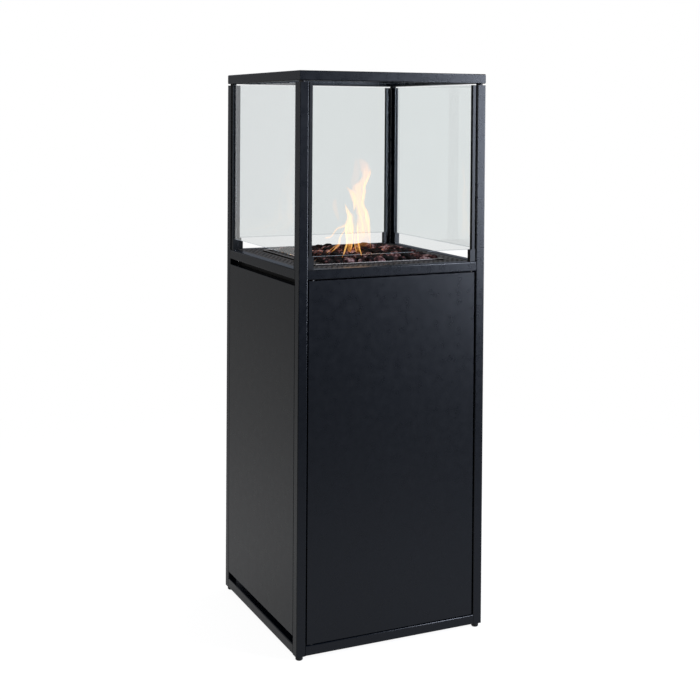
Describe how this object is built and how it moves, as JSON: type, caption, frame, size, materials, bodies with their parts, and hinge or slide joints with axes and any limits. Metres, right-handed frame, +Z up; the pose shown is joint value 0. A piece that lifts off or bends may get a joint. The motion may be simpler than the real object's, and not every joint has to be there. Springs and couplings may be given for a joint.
{
  "type": "fire column",
  "caption": "Square column with an open-topped glass fire box over a perforated deck and lava stone tray, on a cabinet with a push-latch door and gas controls.",
  "frame": {"origin": "on the floor under the middle of the column", "axes": "+Z up, +X to the right seen from the door, -Y towards the person who stands at the door"},
  "size_m": [0.4, 0.4, 1.105],
  "materials": {
    "frame_coating": "fine textured black powder coat, satin",
    "panel_coating": "fine textured black powder coat, satin",
    "bracket_coating": "black powder coat, satin",
    "black_plastic": "moulded black plastic, matt",
    "zinc_steel": "zinc plated, satin",
    "bright_steel": "plain steel, satin",
    "bush_plastic": "natural acetal, matt",
    "control_plastic": "moulded black plastic, matt",
    "clear_glass": "clear toughened float glass, polished, faint green edge",
    "glazing_black": "black powder coat, matt",
    "deck_coating": "dark grey powder coat on perforated sheet, satin",
    "burner_steel": "plain steel, heat tinted",
    "brass": "machined, satin",
    "lava_stone": "rough porous lava, dark red to black",
    "red_plastic": "moulded red plastic",
    "electrode_ceramic": "glazed white ceramic",
    "lead_rubber": "silicone sleeve, matt",
    "sensor_steel": "stainless steel, satin",
    "copper": "drawn copper tube, satin"
  },
  "bodies": {
    "column": {"post_front_left": "frame_coating", "post_rear_left": "frame_coating", "post_rear_right": "frame_coating", "post_front_right": "frame_coating", "floor_rail_front": "frame_coating", "floor_rail_left": "frame_coating", "floor_rail_rear": "frame_coating", "floor_rail_right": "frame_coating", "deck_rail_front": "frame_coating", "deck_rail_left": "frame_coating", "deck_rail_rear": "frame_coating", "deck_rail_right": "frame_coating", "feet": "black_plastic", "post_top_plugs": "black_plastic", "cap_frame": "frame_coating", "cap_spacers": "black_plastic", "cap_studs": "zinc_steel", "panel_left": "panel_coating", "panel_rear": "panel_coating", "panel_right": "panel_coating", "frame_screws": "zinc_steel", "floor_plate": "panel_coating", "hinge_bushes": "bush_plastic", "door_stops": "panel_coating", "latch_body": "control_plastic", "glass_front": "clear_glass", "glass_left": "clear_glass", "glass_rear": "clear_glass", "glass_right": "clear_glass", "glass_channels": "glazing_black", "channel_clips": "glazing_black", "pane_blocks": "glazing_black", "deck_grille": "deck_coating", "tray_hangers": "bracket_coating", "burner_tray": "burner_steel", "bar_burner": "burner_steel", "gas_mixer": "brass", "stone_grate": "deck_coating", "lava_stones": "lava_stone", "heat_shield": "bright_steel", "shield_spacers": "bright_steel", "control_bracket": "bracket_coating", "control_nuts": "brass", "tap_body": "brass", "igniter_body": "control_plastic", "spark_electrode": "electrode_ceramic", "ignition_lead": "lead_rubber", "flame_sensor": "sensor_steel", "sensor_lead": "copper", "gas_pipe": "copper", "gas_stub": "brass"},
    "door": {"door_panel": "panel_coating", "door_stiffeners": "panel_coating", "hinge_pins": "bright_steel", "strike_plate": "bright_steel"},
    "tap_plug": {"tap_plug": "bright_steel"},
    "knob": {"tap_spindle": "bright_steel", "control_knob": "control_plastic"},
    "igniter_button": {"igniter_button": "red_plastic"},
    "latch_plunger": {"latch_plunger": "bright_steel"}
  },
  "joints": [
    {"name": "door_hinge", "type": "hinge", "parent": "column", "child": "door", "pos_m": [-0.169, -0.195, 0.3705], "axis": [0, 0, -1], "range_deg": [0, 115]},
    {"name": "tap_turn", "type": "hinge", "parent": "column", "child": "tap_plug", "pos_m": [0.075, -0.144, 0.65], "axis": [0, -1, 0], "range_deg": [0, 180]},
    {"name": "knob_push", "type": "slide", "parent": "tap_plug", "child": "knob", "axis": [0, 1, 0], "range_m": [0, 0.004], "stiffness_N_per_m": 1500, "springref_m": -0.001},
    {"name": "igniter_push", "type": "slide", "parent": "column", "child": "igniter_button", "axis": [0, 1, 0], "range_m": [0, 0.006], "stiffness_N_per_m": 1500, "springref_m": -0.001},
    {"name": "latch_push", "type": "slide", "parent": "column", "child": "latch_plunger", "axis": [0, 1, 0], "range_m": [0, 0.003], "stiffness_N_per_m": 1500, "springref_m": -0.001}
  ]
}
